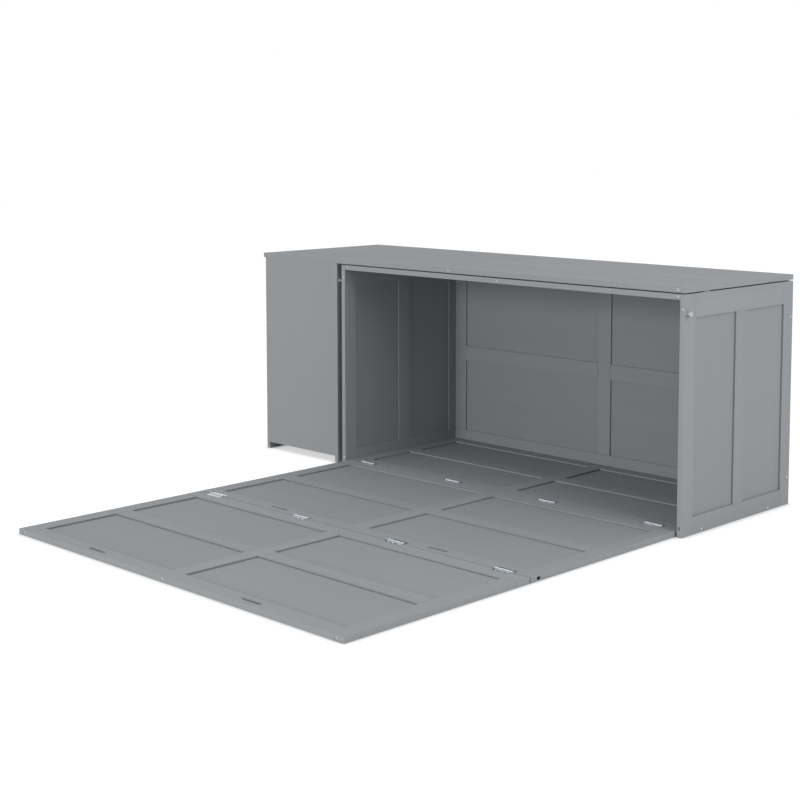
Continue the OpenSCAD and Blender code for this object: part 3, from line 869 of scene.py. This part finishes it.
locks = {
    "bushRadius": 0.0055,
    "bushPlay": 0.0001,
    "holeWidth": 0.009,
    "holeLength": 0.016,
    "holeDepth": 0.009,
    "pinEnd": 0.0008,
}
handSlots = {
    "length": 0.084,
    "width": 0.015,
    "fromMiddle": 0.365,
    "middleInset": 0.032,
    "footInset": 0.029,
}


def bushHoles():
    holes = []
    for low, high in boxesOf("lock_bushes"):
        middle = (low + high) / 2
        side = 1 if middle.x > 0 else -1
        mouth = Vector((high.x if side > 0 else low.x, middle.y, middle.z))
        radius = locks["bushRadius"] + locks["bushPlay"]
        holes.append(RoundHole(mouth, side * unit(0), radius, high.x - low.x + RoundHole.over))
    return holes


def slotHoles(node, inset):
    low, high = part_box(node)
    depth = high.z - low.z + HandSlot.over
    return [HandSlot(Vector((x, low.y + inset, high.z)), unit(2), 0, handSlots["length"], handSlots["width"],
                     depth) for x in (-handSlots["fromMiddle"], handSlots["fromMiddle"])]


def middleOf(node):
    low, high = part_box(node)
    return (low + high) / 2


def lockHoles():
    # as far from the floor hinges as the lock pins are above them
    low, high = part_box("middle_rails")
    axis = middleOf("floor_hinge_pins")
    y = axis.y - (middleOf("lock_bushes").z - axis.z)
    return [SlotHole(Vector((x, y, (low.z + high.z) / 2)), side * unit(0), 1, locks["holeLength"],
                     locks["holeWidth"], locks["holeDepth"]) for side, x in ((-1, low.x), (1, high.x))]


def swivelHole():
    low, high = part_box("swivel_bush")
    middle = (low + high) / 2
    mouth = Vector((middle.x, middle.y, low.z))
    return RoundHole(mouth, -unit(2), (high.x - low.x) / 2 + locks["bushPlay"], high.z - low.z)


def memberNodes(board, long="_rails", short="_stiles"):
    return [board + part for part in (long, short, "_panels")]


cabinetHoles = holesFor("cabinet_frame_bolts")
wallHoles = cabinetHoles + holesFor("wall_bolts") + bushHoles()
framedBoard("floor", "cabinet", memberNodes("floor"), 0, 1, 2, 2, cabinetHoles)
for side in ("left", "right"):
    framedBoard(side + "Wall", "cabinet", memberNodes(side + "_wall", "_stiles", "_rails"), 2, 1, 1, 2,
                wallHoles)
framedBoard("backWall", "cabinet", memberNodes("back_wall"), 0, 2, 2, 2, cabinetHoles)
framedBoard("lowerTop", "cabinet", memberNodes("lower_top"), 0, 1, 2, 2,
            cabinetHoles + holesFor("lower_top_screws", flushScrew))
print("cabinet made")
framedBoard("middle", "middle_board", memberNodes("middle"), 0, 1, 2, 2,
            holesFor("middle_frame_bolts") + slotHoles("middle_rails", handSlots["middleInset"])
            + lockHoles())
framedBoard("foot", "foot_board", memberNodes("foot"), 0, 1, 2, 2,
            holesFor("foot_frame_bolts") + slotHoles("foot_rails", handSlots["footInset"]))
print("platform made")
deskLow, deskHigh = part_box("desk_rails")
framedBoard("desk", "desk", memberNodes("desk"), 0, 1, 2, 2, holesFor("desk_frame_bolts") + [swivelHole()],
            fieldHeight=(deskHigh.z - deskLow.z) / 2)
print("desk top made")


# Shelf unit

shelfUnit = {"edge": 0.001, "edgeSteps": 2}


def finishBoards(name, bm, node, grainAxis, holes):
    mesh = meshFrom(bm, name, paints[grainAxis])
    near = [hole for hole in holes if hole.touches(*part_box(node))]
    if near:
        mesh = cut(mesh, near)
    markMembers(mesh)
    newPiece(name, mesh, node, "desk", bevel=shelfUnit["edge"], steps=shelfUnit["edgeSteps"])


def plainBoards(name, node, grainAxis, holes=()):
    bm = bmesh.new()
    for low, high in boxesOf(node):
        addBox(bm, low, high)
    finishBoards(name, bm, node, grainAxis, holes)


def shelfSide(name, node):
    # a side board with its toe under the plain panel
    panelLow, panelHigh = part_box("shelf_plain_panel")
    low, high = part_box(node)
    bm = bmesh.new()
    addPrism(bm, [(low.y, low.z), (high.y, low.z), (high.y, high.z), (panelHigh.y, high.z),
                  (panelHigh.y, panelLow.z), (low.y, panelLow.z)], 0, low.x, high.x)
    finishBoards(name, bm, node, 2, holesFor("shelf_side_screws", flushScrew))


plainBoards("plainPanel", "shelf_plain_panel", 2, holesFor("shelf_panel_screws", flushScrew))
shelfSide("shelfLeftSide", "shelf_left_side")
shelfSide("shelfRightSide", "shelf_right_side")
plainBoards("shelfBoards", "shelf_boards", 0)
plainBoards("shelfBottom", "shelf_bottom", 0)


def shelfBrackets():
    look = {"thickness": 0.002, "edge": 0.0005}
    t, middleX = look["thickness"], middleOf("shelf_bottom").x
    bm = bmesh.new()
    for low, high in boxesOf("shelf_brackets"):
        if (low.x + high.x) / 2 < middleX:
            profile = ((low.x, high.z), (low.x, low.z), (low.x + t, low.z), (low.x + t, high.z - t),
                       (high.x, high.z - t), (high.x, high.z))
        else:
            profile = ((high.x, high.z), (low.x, high.z), (low.x, high.z - t), (high.x - t, high.z - t),
                       (high.x - t, low.z), (high.x, low.z))
        addPrism(bm, profile, 1, low.y, high.y)
    mesh = meshFrom(bm, "shelfBrackets", zinc)
    newPiece("shelfBrackets", mesh, "shelf_brackets", "desk", bevel=look["edge"])


shelfBrackets()
print("shelf unit made")


# Turned pieces: pins, bushes, pads and glides

def makeTurnedTree():
    tree, given = newTree("turned pieces", ["Radius", "Length", "Bevel", "Bore Radius"], ["Seed"])
    radius, length, bevel, bore = [given[label] for label in ("Radius", "Length", "Bevel", "Bore Radius")]
    rim = [(bevel, (radius - bevel) / radius)]
    body = cylinderIn(tree, radius, bevel - length, -bevel, 48, top=rim, bottom=rim)
    drilled = difference(tree, body, cylinderIn(tree, bore, length * -1.5, length, 48))
    shape = put(tree, "GeometryNodeSwitch", {
        "Switch": bore.maths("GREATER_THAN"), "False": body, "True": drilled}, input_type="GEOMETRY")
    placeOnPoints(tree, given, shape)
    return tree


turnedTree = makeTurnedTree()


def turned(name, node, body, metal, axis, bevel, bore=0.0):
    # every solid of the node becomes a turned piece along the given axis
    ends = []
    for low, high in boxesOf(node):
        size = high - low
        ends.append(((low + high) / 2 + unit(axis) * size[axis] / 2, unit(axis)))
    mesh = runTree(name, turnedTree, {
        "Radius": size[(axis + 1) % 3] / 2, "Length": size[axis], "Bevel": bevel, "Bore Radius": bore,
        "Seed": 1, "Material": metal}, pointsMesh(name, ends))
    newPiece(name, mesh, node, body)


bores = {"lock": 0.00406, "swivel": 0.00606}
turned("slidePads", "slide_pads", "cabinet", nylon, 2, 0.0006)
turned("shelfGlides", "shelf_glides", "desk", nylon, 2, 0.001)
turned("floorHingePins", "floor_hinge_pins", "cabinet", zinc, 0, 0.0003)
turned("footHingePins", "foot_hinge_pins", "middle_board", zinc, 0, 0.0003)
turned("lockBushes", "lock_bushes", "cabinet", brass, 0, 0.0003, bores["lock"])
turned("swivelBush", "swivel_bush", "desk", brass, 2, 0.0003, bores["swivel"])
for side in ("left", "right"):
    turned(side + "LockPin", side + "_lock_pin", side + "_lock", dullZinc, 0, locks["pinEnd"])


def lathe(name, profile, start, axis, material, steps=48):
    # profile: radius and height along the axis, from one end on the axis to the other
    bm = bmesh.new()
    turn = axis.to_track_quat("Z", "Y").to_matrix()
    rings = []
    for radius, height in profile:
        angles = [math.tau * i / steps for i in range(steps if radius else 1)]
        rings.append([bm.verts.new(start + turn @ Vector((
            radius * math.cos(angle), radius * math.sin(angle), height))) for angle in angles])
    for lower, upper in zip(rings, rings[1:]):
        for i in range(steps):
            j = (i + 1) % steps
            corners = [lower[i % len(lower)], lower[j % len(lower)], upper[j % len(upper)],
                       upper[i % len(upper)]]
            bm.faces.new(list(dict.fromkeys(corners)))
    bmesh.ops.recalc_face_normals(bm, faces=bm.faces)
    return meshFrom(bm, name, material)


def lockKnob(side):
    look = {"radius": 0.009, "rim": 0.001, "dish": 0.0006, "dishRadius": 0.00558, "lipRadius": 0.00648,
            "steps": 6, "stopPlay": 0.0003}
    node = side + "_lock_knob"
    low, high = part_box(node)
    middle, height = (low + high) / 2, high.x - low.x - look["stopPlay"]
    outward = unit(0) if middle.x > 0 else -unit(0)
    start = Vector((low.x if middle.x > 0 else high.x, middle.y, middle.z)) + outward * look["stopPlay"]
    radius, rim = look["radius"], look["rim"]
    quarter = [math.pi / 2 * i / look["steps"] for i in range(look["steps"] + 1)]
    turns = [(rim * math.cos(angle), rim * math.sin(angle)) for angle in quarter]
    profile = [(0, 0)]
    profile += [(radius - rim + sine, rim - cosine) for cosine, sine in turns]
    profile += [(radius - rim + cosine, height - rim + sine) for cosine, sine in turns]
    profile += [(look["lipRadius"], height), (look["dishRadius"], height - look["dish"]),
                (0, height - look["dish"])]
    mesh = lathe(side + "LockKnob", profile, start, outward, dullZinc)
    newPiece(mesh.name, mesh, node, side + "_lock")


lockKnob("left")
lockKnob("right")


def swivelPlate():
    look = {"plateThickness": 0.0018, "pinRadius": 0.006, "rim": 0.0004, "pinEnd": 0.0008}
    low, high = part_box("swivel_plate")
    middle, radius, height = (low + high) / 2, (high.x - low.x) / 2, high.z - low.z
    t, pin, rim, end = look["plateThickness"], look["pinRadius"], look["rim"], look["pinEnd"]
    profile = [(0, 0), (radius, 0), (radius, t - rim), (radius - rim, t), (pin, t), (pin, height - end),
               (pin - end, height), (0, height)]
    mesh = lathe("swivelPlate", profile, Vector((middle.x, middle.y, low.z)), unit(2), zinc)
    newPiece("swivelPlate", mesh, "swivel_plate", "cabinet")


swivelPlate()
print("locks and swivel made")


# Hinges: leaves with rolled knuckles

hinge = {
    "Length": 0.07,
    "Width": 0.019,
    "Thickness": 0.0015,
    "Corner Radius": 0.0025,
    "Barrel Radius": 0.003,
    "Pin Radius": 0.00156,
    "Play": 0.0003,
    "Knuckles": 5,
    "edge": 0.0002,
}


def makeHingeTree():
    tree, given = newTree("hinge leaves", [
        "Length", "Width", "Thickness", "Corner Radius", "Barrel Radius", "Pin Radius", "Play"],
        ["Knuckles", "First Knuckle"])
    length, thickness = given["Length"], given["Thickness"]
    barrel, play = given["Barrel Radius"], given["Play"]
    firstKnuckle = given["First Knuckle"]
    inner = barrel + play
    plateWidth = given["Width"] - inner
    low = -barrel
    outline = put(tree, "GeometryNodeCurvePrimitiveQuadrilateral", {
        "Width": length, "Height": plateWidth}, "Curve")
    front = axesOf(tree, put(tree, "GeometryNodeInputPosition"))["Y"].maths("GREATER_THAN")
    radius = front * given["Corner Radius"]
    rounded = put(tree, "GeometryNodeFilletCurve", {
        "Curve": outline, "Radius": radius, "Count": 6, "Limit Radius": True}, mode="POLY")
    sheet = put(tree, "GeometryNodeFillCurve", {"Curve": rounded}, mode="NGONS")
    raised = put(tree, "GeometryNodeExtrudeMesh", {
        "Mesh": sheet, "Offset": vectorOf(tree, z=1.0), "Offset Scale": thickness, "Individual": False},
        "Mesh", mode="FACES")
    under = put(tree, "GeometryNodeFlipFaces", {"Mesh": sheet})
    both = put(tree, "GeometryNodeJoinGeometry", {0: [raised, under]})
    closed = put(tree, "GeometryNodeMergeByDistance", {"Geometry": both, "Distance": weld})
    plate = moved(tree, closed, Translation=vectorOf(tree, 0.0, plateWidth * 0.5 + inner, low))

    pitch = length / given["Knuckles"]
    knuckleLength = pitch - play
    last = given["Knuckles"] - 1.0 - firstKnuckle
    count = (last * 0.5).maths("FLOOR") + 1.0
    startX = (firstKnuckle + 0.5) * pitch - length * 0.5
    seats = lineIn(tree, count, vectorOf(tree, startX), vectorOf(tree, pitch * 2.0))
    lying = (0, math.pi / 2, 0)
    roll = rodIn(tree, barrel, knuckleLength, 32)
    # the tongue is a hair smaller than the plate and the roll, so that no two faces share a plane
    hair = 0.00002
    reach = inner + play
    tongue = moved(tree, boxIn(tree, knuckleLength - hair, reach, thickness - hair),
                   Translation=vectorOf(tree, 0.0, reach * 0.5, thickness * 0.5 + low))
    knuckle = union(tree, moved(tree, roll, Rotation=lying), tongue)
    knuckles = realized(tree, onPoints(tree, seats, knuckle))
    bore = rodIn(tree, given["Pin Radius"], length * 1.2, 24)
    whole = difference(tree, union(tree, plate, knuckles), moved(tree, bore, Rotation=lying))
    turn = put(tree, "FunctionNodeAlignRotationToVector", {
        "Vector": attribute(tree, "outward", "FLOAT_VECTOR")}, axis="Y")
    closeTree(tree, given, onPoints(tree, given["Geometry"], whole, Rotation=turn))
    return tree


hingeTree = makeHingeTree()


def hingeLeaves(name, node, pins, body, firstKnuckle):
    # the leaves lie on one side of the pins' axis, at every pin
    leafY = middleOf(node).y
    places = []
    for low, high in boxesOf(pins):
        middle = (low + high) / 2
        places.append((middle, unit(1) if leafY > middle.y else -unit(1)))
    mesh = runTree(name, hingeTree, {**hinge, "First Knuckle": firstKnuckle, "Material": zinc},
                   pointsMesh(name, places))
    newPiece(name, mesh, node, body, bevel=hinge["edge"])


hingeLeaves("floorHingeLeaves", "floor_hinge_leaves", "floor_hinge_pins", "cabinet", 0)
hingeLeaves("middleRearLeaves", "middle_rear_leaves", "floor_hinge_pins", "middle_board", 1)
hingeLeaves("middleFrontLeaves", "middle_front_leaves", "foot_hinge_pins", "middle_board", 0)
hingeLeaves("footHingeLeaves", "foot_hinge_leaves", "foot_hinge_pins", "foot_board", 1)
print("hinges made")


# Floor, light and camera

studio = {
    "horizonLight": 0.12,
    "zenithLight": 1.06,
    "floorSize": 40.0,
    "floorColour": (0.8, 0.8, 0.8, 1),
    "shadowDepth": 0.35,
    "whiteLevel": 1.12,
    "cornerReach": 0.03,
}
lamps = {
    "low front": {"place": (-0.6, -10.0, 2.3), "aim": (-0.1, 0.0, 0.4), "size": 2.4, "power": 345.0},
    "right side": {"place": (5.0, -0.8, 2.4), "aim": (0.0, -0.3, 0.4), "size": 3.0, "power": 94.0},
}
white = (1, 1, 1, 1)


def seenDirectly(tree, lit, seen):
    # camera, mirror and glass rays get the second shader
    path = wiresOf(tree, tree.nodes.new("ShaderNodeLightPath"))
    direct = path["Is Camera Ray"].maths("MAXIMUM", path["Is Glossy Ray"])
    direct = direct.maths("MAXIMUM", path["Is Transmission Ray"])
    return put(tree, "ShaderNodeMixShader", {0: direct, 1: lit, 2: seen})


def makeWorld():
    world = bpy.data.worlds.new("white studio")
    world.use_nodes = True
    tree = world.node_tree
    tree.nodes.clear()
    upward = axesOf(tree, put(tree, "ShaderNodeTexCoord", output="Generated"))["Z"].maths("MAXIMUM")
    strength = upward * (studio["zenithLight"] - studio["horizonLight"]) + studio["horizonLight"]
    lit = put(tree, "ShaderNodeBackground", {"Color": white, "Strength": strength})
    plain = put(tree, "ShaderNodeBackground", {"Color": white, "Strength": 1.0})
    addNode(tree, "ShaderNodeOutputWorld", {"Surface": seenDirectly(tree, lit, plain)})
    scene.world = world


def makeFloor():
    half = studio["floorSize"] / 2
    mesh = bpy.data.meshes.new("studioFloor")
    mesh.from_pydata([(-half, -half, 0), (half, -half, 0), (half, half, 0), (-half, half, 0)], [],
                     [(0, 1, 2, 3)])
    material = bpy.data.materials.new("white floor")
    material.use_nodes = True
    tree = material.node_tree
    tree.nodes.clear()
    lit = put(tree, "ShaderNodeBsdfDiffuse", {"Color": studio["floorColour"]})
    depth = studio["shadowDepth"]
    shaded = put(tree, "ShaderNodeBsdfDiffuse", {"Color": (depth, depth, depth, 1)})
    # the glow keeps the open floor evenly white to the camera; ambient occlusion dims it within a few
    # centimetres of the object, as painted contact shade
    openness = put(tree, "ShaderNodeAmbientOcclusion", {"Distance": studio["cornerReach"]}, "AO")
    strength = openness * (studio["whiteLevel"] - depth)
    glow = put(tree, "ShaderNodeEmission", {"Color": white, "Strength": strength})
    seen = put(tree, "ShaderNodeAddShader", {0: shaded, 1: glow})
    addNode(tree, "ShaderNodeOutputMaterial", {"Surface": seenDirectly(tree, lit, seen)})
    mesh.materials.append(material)
    newObject("studioFloor", mesh)


def makeLamp(name, look):
    lamp = bpy.data.lights.new(name, "AREA")
    lamp.shape = "SQUARE"
    lamp.size, lamp.energy = look["size"], look["power"]
    holder = newObject(name, lamp)
    holder.location = look["place"]
    aim = Vector(look["aim"]) - holder.location
    holder.rotation_euler = aim.to_track_quat("-Z", "Y").to_euler()


def makeCamera():
    view = {"place": (3.493, -4.276, 1.268), "pitchDown": 0.0948, "turn": 0.773, "lens": 68.8, "sensor": 36,
            "shift": (-0.025, -0.15)}
    data = bpy.data.cameras.new("camera")
    data.sensor_width = view["sensor"]
    data.lens = view["lens"]
    data.shift_x, data.shift_y = view["shift"]
    camera = newObject("camera", data)
    camera.location = view["place"]
    camera.rotation_euler = (math.pi / 2 - view["pitchDown"], 0, view["turn"])
    scene.camera = camera


makeWorld()
makeFloor()
for lampName, lampLook in lamps.items():
    makeLamp(lampName, lampLook)
makeCamera()
scene.view_settings.view_transform = "Standard"
print("studio made")
